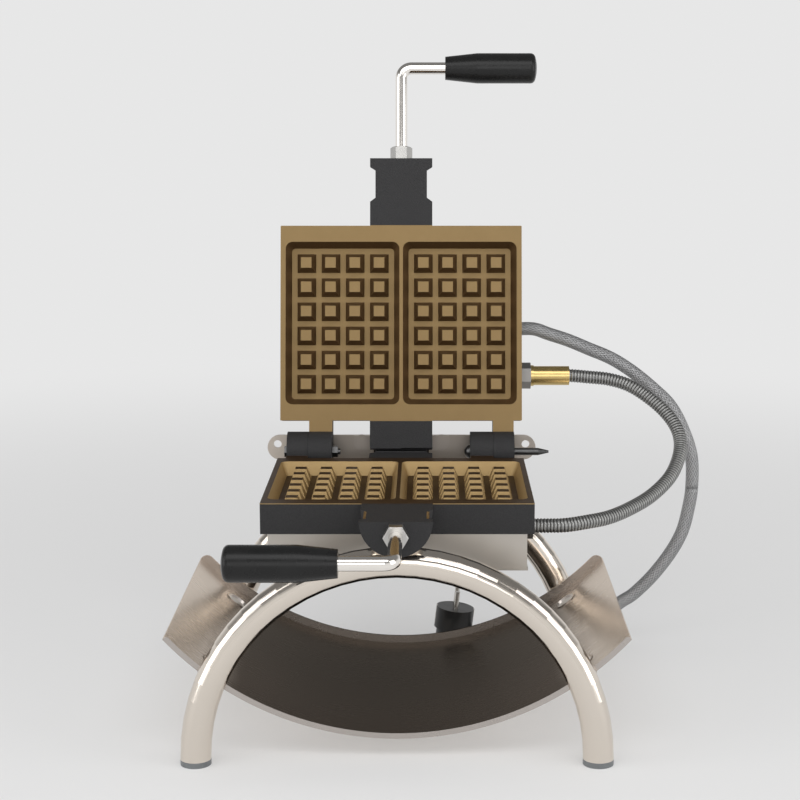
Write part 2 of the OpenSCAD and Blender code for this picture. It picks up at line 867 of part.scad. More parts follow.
module lower_handle_rod() color([0.72, 0.71, 0.7]) on_axis() handle_rod();
module lower_handle_nut() color([0.72, 0.71, 0.7]) on_axis() handle_nut();
module lower_grip() color([0.05, 0.05, 0.05]) on_axis() grip();
module lid_handle_rod() color([0.72, 0.71, 0.7]) lid_handle_side() handle_rod();
module lid_handle_nut() color([0.72, 0.71, 0.7]) lid_handle_side() handle_nut();
module lid_grip() color([0.05, 0.05, 0.05]) lid_handle_side() grip();

// Bent tube of an arch as one solid of the given radius
module arch_core(r) {
    translate([0, 0, leg_h]) {
        rotate([90, 0, 0])
            rotate_extrude(angle = 180)
                translate([arch_r, 0])
                    circle(r);
        for (x = [-arch_r, arch_r])
            translate([x, 0, 0])
                rod(r, foot_h - leg_h, 0, 2);
    }
}

// Places of the tray's screws on an arch, right and left
module at_tray_screws() {
    for (x = [-fastening_x, fastening_x])
        translate([x, 0, fastening_z])
            children();
}

// Arch of tube; inner is the way from its plane to the tray
module arch(inner) {
    difference() {
        arch_core(tube_r);
        arch_core(tube_bore_r);
        for (x = [-arch_r, arch_r])
            translate([x, 0, 0])
                rod(tube_bore_r, foot_h - overrun, foot_h + overrun, 2);
        at_tray_screws() rod(rivet_nut_r + run_fit, 0, inner * (tube_r + overrun), 1);
    }
}

module front_arch() color([0.72, 0.71, 0.7]) on_floor() translate([0, -front_arch_back, 0]) arch(1);
module rear_arch() color([0.72, 0.71, 0.7]) on_floor() translate([0, rear_arch_back, 0]) arch(-1);

// Plug-in feet under the four legs
module foot_caps() {
    color([0.75, 0.76, 0.76])
        on_floor()
            for (x = [-arch_r, arch_r])
                for (y = [-front_arch_back, rear_arch_back])
                    translate([x, y, 0]) {
                        rod(tube_r, 0, foot_h, 2);
                        rod(tube_bore_r - soft_gap, foot_h, foot_h + spigot_h, 2);
                    }
}

// Half round strap that carries a journal, with a foot shaped to the tube's crown
module saddle(arch_y) {
    difference() {
        union() {
            intersection() {
                rod(saddle_out_r, arch_y - saddle_w / 2, arch_y + saddle_w / 2, 1);
                translate([0, 0, -face_gap]) below_face();
            }
            translate([-saddle_foot / 2, arch_y - saddle_foot / 2, -saddle_out_r - saddle_foot_drop])
                cube([saddle_foot, saddle_foot, saddle_foot_drop + saddle_foot_rise]);
        }
        rod(saddle_r, arch_y - saddle_w, arch_y + saddle_w, 1);
        translate([0, arch_y, -axis_h]) arch_core(tube_r);
    }
}

module front_saddle() color([0.72, 0.71, 0.7]) on_axis() saddle(-front_arch_back);
module rear_saddle() color([0.72, 0.71, 0.7]) on_axis() saddle(rear_arch_back);

// Cross bar in two halves on the rear arch, cut out round the saddle and its foot
module stop_bar() {
    end_r = bar_h / 2;
    end_x = bar_half - end_r;
    mid_z = bar_top - end_r;
    notch_r = saddle_out_r + notch_gap;
    foot_slot = saddle_foot + 2 * notch_gap;
    color([0.75, 0.74, 0.72])
        on_axis()
            difference() {
                translate([0, bar_front + bar_t, 0])
                    rotate([90, 0, 0])
                        linear_extrude(bar_t)
                            difference() {
                                union() {
                                    translate([-end_x, bar_top - bar_h]) square([2 * end_x, bar_h]);
                                    for (x = [-end_x, end_x])
                                        translate([x, mid_z])
                                            circle(end_r);
                                    translate([-bar_body_half, -crown_drop])
                                        square([2 * bar_body_half, crown_drop]);
                                }
                                circle(notch_r);
                                translate([-notch_r, 0]) square([2 * notch_r, bar_top + overrun]);
                                translate([-foot_slot / 2, -crown_drop - overrun])
                                    square([foot_slot, crown_drop]);
                                for (x = [-bar_hole_half, bar_hole_half])
                                    translate([x, bar_hole_up])
                                        circle(bar_hole_d / 2);
                            }
                translate([0, rear_arch_back, -axis_h]) arch_core(tube_r);
            }
}

// Two plates on the bar's front, each side of the notch
module bar_pads() {
    inner = saddle_out_r + 2 * notch_gap;
    width = bar_body_half - inner;
    color([0.75, 0.74, 0.72])
        on_axis()
            for (side = [0, 1])
                mirror([side, 0, 0])
                    translate([inner, bar_front, bar_top - pad_drop])
                        rotate([90, 0, 0])
                            linear_extrude(pad_t) {
                                square([width - pad_corner_r, pad_drop]);
                                translate([0, pad_corner_r]) square([width, pad_drop - pad_corner_r]);
                                translate([width - pad_corner_r, pad_corner_r]) circle(pad_corner_r);
                            }
}

// Curved sheet between two radii, from one place along Y to another
module tray_band(inner_r, outer_r, y0, y1) {
    edge = 2 * tray_r;
    translate([0, y1, tray_axis_h])
        rotate([90, 0, 0])
            linear_extrude(y1 - y0)
                difference() {
                    intersection() {
                        circle(outer_r);
                        polygon([
                            [0, 0],
                            [-edge * sin(tray_half_angle), -edge * cos(tray_half_angle)],
                            [edge * sin(tray_half_angle), -edge * cos(tray_half_angle)]]);
                    }
                    circle(inner_r);
                }
}

// Places of the tray's holes, with the sheet's outer face at height 0 and its inside below
module at_tray_holes() {
    for (a = [-tray_hole_angle, tray_hole_angle])
        for (y = [tray_front + tray_hole_in, tray_back - tray_hole_in])
            translate([0, y, tray_axis_h])
                rotate([0, -a, 0])
                    translate([0, 0, -tray_r])
                        children();
}

// What is cut off to round the upper end corners of a lip of the given height
module lip_corners(lip_h, y0, y1) {
    inner_r = tray_r - tray_t;
    top_share = (inner_r - lip_h) / inner_r;
    depth = sqrt(pow(inner_r, 2) - pow(lip_h, 2));
    for (side = [0, 1])
        mirror([side, 0, 0])
            translate([0, y1 + overrun, tray_axis_h])
                rotate([0, -tray_half_angle, 0])
                    rotate([90, 0, 0])
                        linear_extrude(y1 - y0 + 2 * overrun)
                            difference() {
                                translate([-lip_h * top_share, -depth])
                                    square([lip_h * top_share + overrun, lip_h + overrun]);
                                translate([-lip_h, -depth]) circle(lip_h);
                            }
}

module drip_tray() {
    inner_r = tray_r - tray_t;
    hole_r = tray_hole_d / 2;
    color([0.66, 0.63, 0.59])
        on_floor()
            difference() {
                union() {
                    tray_band(inner_r, tray_r, tray_front, tray_back);
                    tray_band(inner_r - front_lip_h, tray_r, tray_front, tray_front + tray_t);
                    tray_band(inner_r - rear_lip_h, tray_r, tray_back - tray_t, tray_back);
                    at_tray_holes() rod(hole_r + tray_rim_w, tray_t / 2, tray_t + tray_rim_h, 2);
                }
                at_tray_holes() rod(hole_r, -overrun, tray_t + tray_rim_h + overrun, 2);
                lip_corners(front_lip_h, tray_front, tray_front + tray_t);
                lip_corners(rear_lip_h, tray_back - tray_t, tray_back);
            }
}

// The four places of the tray's fastenings, drawn for the rear right one
module at_fastenings() {
    for (side = [0, 1])
        mirror([side, 0, 0]) {
            translate([0, tray_back, 0]) children();
            translate([0, tray_front, 0]) mirror([0, 1, 0]) children();
        }
}

// Angle brackets under the tray, one leg against the tube
module tray_brackets() {
    top = tray_r + seat_gap;
    color([0.66, 0.65, 0.64])
        on_floor()
            at_fastenings()
                difference() {
                    translate([
                        fastening_x + bracket_out - bracket_w, -bracket_leg,
                        fastening_z - bracket_w / 2])
                        cube([bracket_w, bracket_leg, 2 * bracket_w]);
                    translate([0, 0, tray_axis_h]) rod(top, -2 * bracket_leg, bracket_leg, 1);
                    difference() {
                        translate([0, -bracket_leg - bracket_t, 0])
                            cube([2 * fastening_x, bracket_leg, tray_axis_h]);
                        translate([0, 0, tray_axis_h])
                            rotate([90, 0, 0])
                                difference() {
                                    cylinder(h = 2 * bracket_leg, r = top + bracket_t);
                                    cylinder(h = 2 * bracket_leg, r = top);
                                }
                    }
                    translate([fastening_x, 0, fastening_z])
                        rod(tray_screw_r + seat_gap, -2 * bracket_leg, overrun, 1);
                }
}

module tray_screws() {
    color([0.7, 0.7, 0.7])
        on_floor()
            at_fastenings()
                translate([fastening_x, 0, fastening_z]) {
                    rod(tray_screw_r, -bracket_t, tray_screw_len - bracket_t, 1);
                    rod(tray_screw_head_r, -bracket_t - tray_screw_head_h, -bracket_t, 1);
                }
}

module tray_rivet_nuts() {
    color([0.7, 0.7, 0.7])
        on_floor()
            at_fastenings()
                translate([fastening_x, 0, fastening_z])
                    difference() {
                        rod(rivet_nut_r, 0, rivet_nut_len, 1);
                        rod(tray_screw_r + run_fit, -overrun, rivet_nut_len + overrun, 1);
                    }
}

// Hollow hexagon fitting on a box's right wall, drawn about X, with a nipple through the wall
module wall_fitting(flats, length, hold, hold_r) {
    wall = box_w / 2;
    difference() {
        union() {
            hex_rod(flats, wall, wall + length, 0);
            rod(fitting_bore_r, wall - nipple_len, wall, 0);
        }
        rod(nipple_bore_r, wall - nipple_len - overrun, wall + length + overrun, 0);
        rod(hold_r, wall + length - hold, wall + length + overrun, 0);
    }
}

// Places a fitting on the lid's box, at a place along Y
module on_lid_box(y) opened() as_lid() translate([0, y, -plate_t - fitting_depth]) children();

module lower_hose_gland() {
    color([0.6, 0.6, 0.6])
        on_axis()
            translate([0, lower_fitting_y, -plate_t - fitting_depth])
                wall_fitting(gland_af, gland_len, gland_hold, hose_d / 2 + soft_gap);
}

module hose_nut() {
    color([0.5, 0.5, 0.5])
        on_lid_box(lid_fittings[0])
            wall_fitting(hose_nut_af, hose_nut_len, 0, nipple_bore_r);
}

module brass_sleeve() {
    start = box_w / 2 + hose_nut_len;
    end = start + sleeve_len;
    color([0.8, 0.62, 0.28])
        on_lid_box(lid_fittings[0])
            difference() {
                union() {
                    rod(sleeve_d / 2, start, end, 0);
                    rod(sleeve_flange_r, start, start + sleeve_flange_t, 0);
                }
                rod(nipple_bore_r, start - overrun, end + overrun, 0);
                rod(hose_d / 2 + soft_gap, end - sleeve_hold, end + overrun, 0);
            }
}

module cord_gland() {
    color([0.2, 0.2, 0.2])
        on_lid_box(lid_fittings[1])
            wall_fitting(gland_af, cord_gland_len, cord_gland_hold, cord_d / 2 + soft_gap);
}

// Place of a point of the closed lid once the lid is open, above the floor
function opened_place(x, y, z) =
    let (dy = y - hinge_y, dz = z - hinge_z)
    [x, hinge_y + dy * cos(lid_open) + dz * sin(lid_open),
        axis_h + hinge_z - dy * sin(lid_open) + dz * cos(lid_open)];

// Point of a smooth curve through b and c, between them at share t
function curve_point(a, b, c, d, t) =
    0.5 * (2 * b + (c - a) * t + (2 * a - 5 * b + 4 * c - d) * pow(t, 2)
        + (3 * b - a - 3 * c + d) * pow(t, 3));

// Fine points of the smooth curve through the given points
function smooth(points) =
    let (n = len(points))
    concat(
        [for (i = [0 : n - 2])
            for (j = [0 : route_steps - 1])
                curve_point(
                    points[max(i - 1, 0)], points[i], points[i + 1], points[min(i + 2, n - 1)],
                    j / route_steps)],
        [points[n - 1]]);

// Length along a line of points up to each of them
function lengths(points) =
    [for (i = 0, sum = 0; i < len(points);
        i = i + 1, sum = sum + (i < len(points) ? norm(points[i] - points[i - 1]) : 0)) sum];

function unit(v) = v / norm(v);

// Round rings square to a line of points: each has a place along it and a radius
function rings(points, stations, sides, aside) =
    let (
        sums = lengths(points),
        total = sums[len(sums) - 1],
        tables = [for (k = [0 : 2]) [for (i = [0 : len(points) - 1]) [sums[i], points[i][k]]]])
    [for (s = stations)
        let (
            place = [for (k = [0 : 2]) lookup(s[0], tables[k])],
            from = [for (k = [0 : 2]) lookup(max(s[0] - overrun, 0), tables[k])],
            to = [for (k = [0 : 2]) lookup(min(s[0] + overrun, total), tables[k])],
            along = unit(to - from),
            across = unit(cross(along, aside)),
            third = cross(along, across))
        for (j = [0 : sides - 1])
            place + s[1] * (cos(360 * j / sides) * across + sin(360 * j / sides) * third)];

// Triangles between neighbouring rings; first is the number of the first ring's first point
function ring_walls(count, sides, first, inward) =
    [for (k = [0 : count - 2])
        for (j = [0 : sides - 1])
            let (
                a = first + k * sides + j,
                b = first + k * sides + (j + 1) % sides,
                c = a + sides,
                d = b + sides)
            for (face = inward ? [[a, d, c], [a, b, d]] : [[a, c, d], [a, d, b]])
                face];

// Flat end of a solid tube
function ring_end(first, sides, last) =
    [for (j = [1 : sides - 2])
        last ? [first, first + j + 1, first + j] : [first, first + j, first + j + 1]];

// Ring shaped end of a hollow tube, between an outer and an inner ring
function hollow_end(outer, inner, sides, last) =
    [for (j = [0 : sides - 1])
        let (k = (j + 1) % sides)
        for (face = last
            ? [[outer + j, inner + k, outer + k], [outer + j, inner + j, inner + k]]
            : [[outer + j, outer + k, inner + k], [outer + j, inner + k, inner + j]])
            face];

hose_start = opened_place(
    box_w / 2 + hose_nut_len + sleeve_len - sleeve_hold + seat_gap, lid_fittings[0],
    face_gap + plate_t + fitting_depth);
hose_end = [
    box_w / 2 + gland_len - gland_hold + seat_gap, lower_fitting_y,
    axis_h - plate_t - fitting_depth];
hose_exit = sleeve_hold + overrun;
hose_tail = gland_hold + hose_d;

// Ribbed hose from the sleeve round to the lower box, hollow, one rib after another
module hose() {
    points = smooth(concat(
        [hose_start, hose_start + [hose_exit, 0, 0]], hose_route,
        [hose_end + [hose_tail, 0, 0], hose_end]));
    sums = lengths(points);
    total = sums[len(sums) - 1];
    ribs = round(total / rib_pitch);
    bore_rings = round(ribs / bore_ring_every);
    outer = [for (i = [0 : 2 * ribs])
        [total * i / ribs / 2, hose_d / 2 - (i % 2 == 0 ? rib_depth : 0)]];
    inner = [for (i = [0 : bore_rings]) [total * i / bore_rings, hose_bore_r]];
    aside = unit([0, 1, -1]);
    outer_points = rings(points, outer, hose_sides, aside);
    inner_points = rings(points, inner, hose_sides, aside);
    first = len(outer_points);
    echo(hose_length = total, ribs = ribs);
    color([0.6, 0.6, 0.6])
        on_floor()
            polyhedron(
                points = concat(outer_points, inner_points),
                faces = concat(
                    ring_walls(len(outer), hose_sides, 0, false),
                    ring_walls(len(inner), hose_sides, first, true),
                    hollow_end(0, first, hose_sides, false),
                    hollow_end(
                        (len(outer) - 1) * hose_sides, first + (len(inner) - 1) * hose_sides,
                        hose_sides, true)));
}

cord_start = opened_place(
    box_w / 2 + cord_gland_len - cord_gland_hold + seat_gap, lid_fittings[1],
    face_gap + plate_t + fitting_depth);
cord_end = [relief_x + seat_gap, plug_y, plug_cord_h];

// Power cord from the lid's gland to the plug's strain relief
module power_cord() {
    points = smooth(concat(
        [cord_start, cord_start + [cord_gland_hold + cord_d, 0, 0]], cord_route,
        [cord_end + [cord_d, 0, 0], cord_end]));
    sums = lengths(points);
    total = sums[len(sums) - 1];
    count = round(total / cord_ring);
    stations = [for (i = [0 : count]) [total * i / count, cord_d / 2]];
    echo(cord_length = total);
    color([0.6, 0.6, 0.6])
        on_floor()
            polyhedron(
                points = rings(points, stations, cord_sides, [0, 1, 0]),
                faces = concat(
                    ring_walls(len(stations), cord_sides, 0, false),
                    ring_end(0, cord_sides, false),
                    ring_end(count * cord_sides, cord_sides, true)));
}

// Leans what is drawn upright at the plug's place
module leaned() translate([plug_x, plug_y, 0]) rotate([0, plug_lean, 0]) children();

module at_plug_pins() {
    for (y = [-plug_pin_spacing / 2, plug_pin_spacing / 2])
        translate([0, y, plug_h])
            children();
}

// Plug standing on its back, with its cord leaving sideways through a tapered relief
module plug_body() {
    r = plug_d / 2;
    color([0.06, 0.06, 0.06])
        on_floor()
            difference() {
                union() {
                    leaned() {
                        rod(plug_back_r, -root, plug_back_h + overrun, 2);
                        translate([0, 0, plug_back_h]) rod(r, 0, plug_h - plug_back_h, 2);
                    }
                    translate([0, plug_y, plug_cord_h]) {
                        rod(plug_neck_r, plug_x, plug_neck_x, 0);
                        translate([plug_neck_x, 0, 0])
                            rotate([0, 90, 0])
                                cylinder(h = relief_x - plug_neck_x, r1 = plug_neck_r, r2 = relief_r);
                    }
                }
                leaned() {
                    at_plug_pins() rod(plug_pin_d / 2 + run_fit, -plug_pin_len / 2, overrun, 2);
                    for (side = [0, 1])
                        mirror([side, 0, 0])
                            translate([r - clip_t, -clip_w / 2, plug_h - clip_h])
                                cube([clip_t + overrun, clip_w, clip_h + overrun]);
                }
                translate([-reach_all, -reach_all, -2 * reach_all]) cube(2 * reach_all);
            }
}

module plug_pins() {
    color([0.8, 0.79, 0.76])
        on_floor()
            leaned()
                at_plug_pins()
                    rod(plug_pin_d / 2, -plug_pin_len / 2, plug_pin_len, 2);
}

module plug_earth_clips() {
    r = plug_d / 2;
    color([0.8, 0.79, 0.76])
        on_floor()
            leaned()
                for (side = [0, 1])
                    mirror([side, 0, 0])
                        translate([r - clip_t, run_fit - clip_w / 2, plug_h - clip_h])
                            cube([clip_t, clip_w - 2 * run_fit, clip_h]);
}

front_arch();
rear_arch();
foot_caps();
front_saddle();
rear_saddle();
stop_bar();
bar_pads();
drip_tray();
tray_brackets();
tray_screws();
tray_rivet_nuts();
lower_plate();
lower_box();
lower_element();
lower_clamps();
lower_clamp_screws();
lower_insulation();
lower_terminal_block();
lower_terminals();
lower_box_screws();
lower_handle_rod();
lower_handle_nut();
lower_grip();
hinge_bolt();
hinge_nut();
hinge_pin();
lower_hose_gland();
lid_plate();
lid_box();
lid_element();
lid_clamps();
lid_clamp_screws();
lid_insulation();
lid_terminal_block();
lid_terminals();
lid_box_screws();
thermostat();
lid_handle_rod();
lid_handle_nut();
lid_grip();
hose_nut();
brass_sleeve();
cord_gland();
hose();
power_cord();
plug_body();
plug_pins();
plug_earth_clips();
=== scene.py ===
"""Looks of a double plate waffle iron on a stand of bent tube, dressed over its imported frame."""
import math

import bmesh
import bpy
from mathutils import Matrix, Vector

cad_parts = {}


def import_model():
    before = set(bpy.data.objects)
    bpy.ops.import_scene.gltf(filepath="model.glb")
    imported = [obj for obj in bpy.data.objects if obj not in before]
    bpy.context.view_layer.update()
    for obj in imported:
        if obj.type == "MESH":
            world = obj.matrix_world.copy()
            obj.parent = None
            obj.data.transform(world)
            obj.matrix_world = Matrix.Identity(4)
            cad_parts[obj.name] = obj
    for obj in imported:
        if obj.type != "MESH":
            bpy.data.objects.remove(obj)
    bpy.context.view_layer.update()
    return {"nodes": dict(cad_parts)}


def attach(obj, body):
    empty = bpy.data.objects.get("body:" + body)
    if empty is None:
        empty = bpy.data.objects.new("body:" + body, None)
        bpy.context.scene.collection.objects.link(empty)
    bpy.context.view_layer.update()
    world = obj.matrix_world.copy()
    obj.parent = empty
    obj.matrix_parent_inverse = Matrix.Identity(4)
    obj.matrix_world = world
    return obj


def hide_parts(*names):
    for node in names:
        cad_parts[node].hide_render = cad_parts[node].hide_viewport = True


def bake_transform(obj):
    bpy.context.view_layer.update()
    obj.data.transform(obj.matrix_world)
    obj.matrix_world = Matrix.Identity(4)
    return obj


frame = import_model()
NODES = frame["nodes"]
MM = 0.001

# Places of the iron, in metres
AXIS_H = 0.2222
FACE_GAP = 0.0003
MIDDLE_Y = 0.0198534
HINGE = Vector((0, MIDDLE_Y + 0.1278, AXIS_H + FACE_GAP / 2))
LID_OPEN = math.radians(101.5)
PLATE_X = 0.1205
PLATE_Y = 0.0975
LUG_X = 0.035
LUG_Y = 0.108
MOULD_X = 0.1155
MOULD_Y = 0.0815
MOULD_DEPTH = 0.0138

# The photograph's camera
CAMERA_PLACE = Vector((0.02783, -1.62955, 0.5868))
CAMERA_DROP = math.radians(9.974)
CAMERA_LENS = 82.22
CAMERA_SHIFT_X = -0.0364

# Felt pads in the heater boxes
WELD = 0.00001
FLAT_ANGLE = math.radians(2)
PAD_EDGE = 0.0025

# Stage
FLOOR_SIZE = 60
FLOOR_TONE = (0.80, 0.80, 0.80)
FLOOR_NEAR = 0.5
FLOOR_FAR = 2.2
FLOOR_GLOW = 0.35
BACKGROUND = (0.80, 0.80, 0.80)
OVERHEAD = (0.20, 0.20, 0.20)
OVERHEAD_FROM = 0.10
OVERHEAD_FULL = 0.50
WORLD_LIGHT = (0.50, 0.50, 0.50)

# Hose and cord, with the same points as the solids that they replace
HOSE_D = 0.0136
HOSE_RIB_PITCH = 0.0031
HOSE_RIB_DEPTH = 0.0009
HOSE_SHOULDER = 0.15
RINGS_PER_RIB = 4
HOSE_SIDES = 24
CORD_D = 0.0135
CORD_SIDES = 24
CORD_STEP = 0.004
ROUTE_STEPS = 8
HOSE_ROUTE = [
    (150.1, 186.94, 289.10), (171.1, 186.94, 289.10),
    (190, 186, 287.7), (211, 184, 285.7), (232, 179, 279.7), (252, 170, 267.7),
    (267, 160, 254.7), (276, 148, 241.7), (278, 134, 228.7), (273, 115, 215.7),
    (262, 94, 202.7), (242, 70, 190.7), (219, 46, 183.7), (197, 27, 179.7),
    (175, 13, 178.7), (155, 5, 177.7), (137.7, 3, 177.7), (118.1, 3, 177.7)]
CORD_ROUTE = [
    (117.1, 196.43, 335.74), (134.6, 196.43, 335.74),
    (150, 199, 330.2), (170, 203, 323.2), (192, 206, 313.7), (215, 208, 303.7),
    (237, 210, 289.7), (259, 212, 271.7), (278, 213, 252.7), (292, 214, 226.7),
    (301, 214, 198.7), (302, 214, 166.7), (299, 214, 143.7), (293, 213, 119.7),
    (281, 212, 96.7), (263, 211, 72.7), (243, 210, 52.7), (229, 208, 44), (205, 203, 27),
    (178, 198, 17), (150, 193, 14), (121.6, 192, 14), (108.1, 192, 14)]
CORD_JOIN = 11
STRANDS_AROUND = 8
STRANDS_ALONG = 4
WIRES_AROUND = 40
WIRES_ALONG = 20

# Steps of the polishing lines along x, y and z
EVEN = (1, 1, 1)
BRUSHED = (0.2, 1, 8)


class Value:
    """A shader socket that Python's operators work on."""

    def __init__(self, shader, socket):
        self.shader = shader
        self.socket = socket

    def _maths(self, operation, *values):
        return self.shader.maths(operation, *values)

    def __add__(self, other):
        return self._maths("ADD", self, other)

    def __radd__(self, other):
        return self._maths("ADD", other, self)

    def __sub__(self, other):
        return self._maths("SUBTRACT", self, other)

    def __rsub__(self, other):
        return self._maths("SUBTRACT", other, self)

    def __mul__(self, other):
        return self._maths("MULTIPLY", self, other)

    def __rmul__(self, other):
        return self._maths("MULTIPLY", other, self)

    def __gt__(self, other):
        return self._maths("GREATER_THAN", self, other)

    def __lt__(self, other):
        return self._maths("LESS_THAN", self, other)

    def __abs__(self):
        return self._maths("ABSOLUTE", self)

    def __neg__(self):
        return self._maths("MULTIPLY", self, -1)

    def smooth(self, low, high):
        """0 below low, 1 above high, and a soft step between."""
        return self.shader.node(
            "ShaderNodeMapRange", {"interpolation_type": "SMOOTHSTEP"},
            {"Value": self, "From Min": low, "From Max": high})

    def sine(self):
        return self._maths("SINE", self)


class Shader:
    """A material with its surface shader, and one method for every other node."""

    def __init__(self, name):
        self.material = bpy.data.materials.new(name)
        self.material.use_nodes = True
        self.nodes = self.material.node_tree.nodes
        self.links = self.material.node_tree.links
        self.surface = self.nodes["Principled BSDF"]

    def put(self, socket, value):
        if isinstance(value, Value):
            self.links.new(value.socket, socket)
        else:
            socket.default_value = value

    def node(self, kind, settings=None, inputs=None, output=0):
        made = self.nodes.new(kind)
        for name, value in (settings or {}).items():
            if name == "stops":
                ramp = made.color_ramp
                while len(ramp.elements) < len(value):
                    ramp.elements.new(1)
                for element, (place, colour) in zip(ramp.elements, value):
                    element.position = place
                    element.color = (*colour, 1)
            else:
                setattr(made, name, value)
        for name, value in (inputs or {}).items():
            self.put(made.inputs[name], value)
        return Value(self, made.outputs[output])

    def maths(self, operation, *values):
        return self.node("ShaderNodeMath", {"operation": operation}, dict(enumerate(values)))

    def set(self, **values):
        for name, value in values.items():
            self.put(self.surface.inputs[name.replace("_", " ")], value)
        return self

    def place(self):
        return self.node("ShaderNodeTexCoord", output="Object")

    def split(self, vector):
        made = self.node("ShaderNodeSeparateXYZ", {}, {"Vector": vector}, "X")
        return [Value(self, made.socket.node.outputs[i]) for i in range(3)]

    def noise(self, scale, detail=4, roughness=0.55, vector=None):
        return self.node(
            "ShaderNodeTexNoise", {},
            {"Vector": vector or self.place(), "Scale": scale, "Detail": detail, "Roughness": roughness},
            "Fac")

    def grains(self, scale, vector=None):
        return self.node(
            "ShaderNodeTexVoronoi", {"feature": "F1"},
            {"Vector": vector or self.place(), "Scale": scale}, "Distance")

    def mix(self, share, first, second):
        return self.node(
            "ShaderNodeMix", {"data_type": "RGBA"},
            {0: share, 6: colour(first), 7: colour(second)}, 2)

    def ramp(self, share, stops):
        return self.node("ShaderNodeValToRGB", {"stops": stops}, {"Fac": share}, "Color")

    def bump(self, height, distance, strength=1.0, normal=None):
        inputs = {"Height": height, "Distance": distance, "Strength": strength}
        if normal:
            inputs["Normal"] = normal
        return self.node("ShaderNodeBump", {}, inputs)


def colour(value):
    """Colour socket value of a triple, or the link as it is."""
    return value if isinstance(value, Value) else (*value, 1)


def closed_lid_place(shader):
    """Object coordinates turned back to where the closed lid lies on the lower plate."""
    moved = shader.node(
        "ShaderNodeVectorMath", {"operation": "SUBTRACT"}, {0: shader.place(), 1: HINGE})
    turned = shader.node(
        "ShaderNodeVectorRotate", {"rotation_type": "X_AXIS"}, {"Vector": moved, "Angle": LID_OPEN})
    return shader.node("ShaderNodeVectorMath", {"operation": "ADD"}, {0: turned, 1: HINGE})


def closed_lid_normal(shader):
    """Surface direction turned back in the same way."""
    normal = shader.node("ShaderNodeTexCoord", output="Normal")
    return shader.node(
        "ShaderNodeVectorRotate", {"rotation_type": "X_AXIS"}, {"Vector": normal, "Angle": LID_OPEN})


def cast_iron(name, is_lid):
    """Sand cast charcoal iron; the baking side is tan, with painted shade in brown on the lid's slopes
    and on the lower plate's flats.
    """
    s = Shader(name)
    place = closed_lid_place(s) if is_lid else s.place()
    normal = closed_lid_normal(s) if is_lid else s.node("ShaderNodeTexCoord", output="Normal")
    x, y, z = s.split(place)
    _, _, slope_z = s.split(normal)
    side = 1 if is_lid else -1
    depth = (z - AXIS_H - (FACE_GAP if is_lid else 0)) * side
    on_plate = (abs(x) < PLATE_X) * (abs(y - MIDDLE_Y) < PLATE_Y)
    on_lug = (abs(x) > LUG_X) * (abs(y - MIDDLE_Y - LUG_Y / 2) < LUG_Y / 2)
    on_face = (depth < 0.0006) * s.maths("MAXIMUM", on_plate, on_lug)
    in_mould = (abs(x) < MOULD_X) * (abs(y - MIDDLE_Y) < MOULD_Y) * (depth < MOULD_DEPTH)
    baked = s.maths("MAXIMUM", on_face, in_mould)
    flat = abs(slope_z).smooth(0.72, 0.97)
    soot = s.noise(38, 5, 0.6)
    fine = s.noise(420, 3, 0.6)
    # Painted shade: the lid's tan and browns are darker than the lower plate's, though both plates are
    # one iron.
    pale, deep = ((0.285, 0.195, 0.088), (0.232, 0.153, 0.066)) if is_lid else (
        (0.430, 0.300, 0.140), (0.340, 0.230, 0.100))
    tan = s.mix(soot, deep, pale)
    dark_brown, light_brown = ((0.090, 0.048, 0.018), (0.150, 0.088, 0.038)) if is_lid else (
        (0.036, 0.018, 0.007), (0.070, 0.038, 0.016))
    brown = s.mix(fine, dark_brown, light_brown)
    # Painted shade by surface direction: brown on the lid's slopes and on the lower plate's flats, tan
    # elsewhere.
    tan_and_painted_shade = s.mix(flat, brown, tan) if is_lid else s.mix(flat, tan, brown)
    sand = s.noise(900, 2, 0.7)
    iron = s.mix(sand, (0.017, 0.017, 0.018), (0.047, 0.046, 0.047))
    blotch = s.noise(24, 3, 0.5)
    iron = s.mix(blotch * 0.35, iron, (0.024, 0.023, 0.024))
    grain = s.grains(620)
    rough_cast = s.bump(sand + grain * 0.6, 0.00035, 0.55)
    smooth_cast = s.bump(fine + soot * 0.5, 0.00008, 0.35)
    chosen = s.node(
        "ShaderNodeMix", {"data_type": "VECTOR"}, {0: baked, 4: rough_cast, 5: smooth_cast}, 1)
    s.set(
        Base_Color=s.mix(baked, iron, tan_and_painted_shade),
        Roughness=baked * (0.42 + soot * 0.12) + (1 - baked) * (0.52 + sand * 0.2),
        Metallic=baked * 0.35 + 0.2, Normal=chosen, Specular_IOR_Level=0.3)
    return s.material


def steel(name, tone, rough, streak, spread=0.05, painted_shade=None, rim=(1, 1, 1)):
    """Stainless steel with fine polishing lines and a few soft smears; rim tones flat glances;
    painted_shade, where given, paints shade into the colour.
    """
    s = Shader(name)
    stretch = s.node("ShaderNodeMapping", {}, {"Vector": s.place(), "Scale": streak})
    lines = s.noise(60, 3, 0.7, stretch)
    smear = s.noise(14, 4, 0.6)
    darker = tuple(c * 0.92 for c in tone)
    s.set(
        Base_Color=s.mix(smear, darker, tone) if painted_shade is None else painted_shade(s, smear, darker, tone),
        Metallic=1.0, Roughness=rough + (lines - 0.5) * spread + (smear - 0.5) * spread,
        Normal=s.bump(lines, 0.00002, 0.25), Specular_Tint=(*rim, 1))
    return s.material


